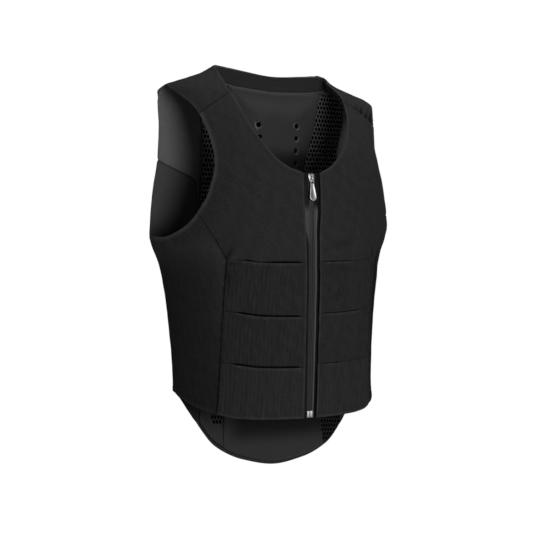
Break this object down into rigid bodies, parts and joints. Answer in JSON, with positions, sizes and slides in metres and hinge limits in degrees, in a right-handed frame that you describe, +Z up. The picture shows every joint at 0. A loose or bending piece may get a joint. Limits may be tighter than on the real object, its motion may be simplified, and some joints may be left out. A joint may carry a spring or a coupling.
{
  "type": "back protector vest",
  "caption": "Sleeveless black zip vest with ribbed stretch bands across the front and a foam back plate with a drop tail, worn to protect the back in sport.",
  "frame": {"origin": "midway between the shoulder straps, on the level where the vest rests on the wearer's shoulders", "axes": "+Z up, +Y towards the wearer's back, +X towards the wearer's left"},
  "size_m": [0.406, 0.1821, 0.6287],
  "materials": {
    "softshell": "matte black softshell with a fine weave",
    "stretch": "matte black stretch cloth with fine upright ribs",
    "facing": "matte black cloth",
    "foam": "matte dark grey foam with a smooth skin",
    "spacer": "black spacer mesh with hexagonal holes",
    "satin": "black satin zip tape",
    "metal": "bright plated metal"
  },
  "bodies": {
    "vest": {"chest_panel_left": "softshell", "chest_panel_right": "softshell", "stretch_band_left_upper": "stretch", "stretch_band_right_upper": "stretch", "stretch_band_left_middle": "stretch", "stretch_band_right_middle": "stretch", "stretch_band_left_lower": "stretch", "stretch_band_right_lower": "stretch", "side_panel_left": "softshell", "side_panel_right": "softshell", "shoulder_yoke_left": "softshell", "shoulder_yoke_right": "softshell", "back_panel": "softshell", "neck_facing": "facing", "back_plate": "foam", "spacer_mesh_left": "spacer", "spacer_mesh_right": "spacer", "zip_tape_left": "satin", "zip_tape_right": "satin", "zip_slider": "metal", "zip_end_box": "metal"},
    "puller": {"zip_puller": "metal"}
  },
  "joints": [
    {"name": "puller_swing", "type": "hinge", "parent": "vest", "child": "puller", "pos_m": [0, -0.13704, -0.15996], "axis": [-1, 0, 0], "range_deg": [0, 150]}
  ]
}
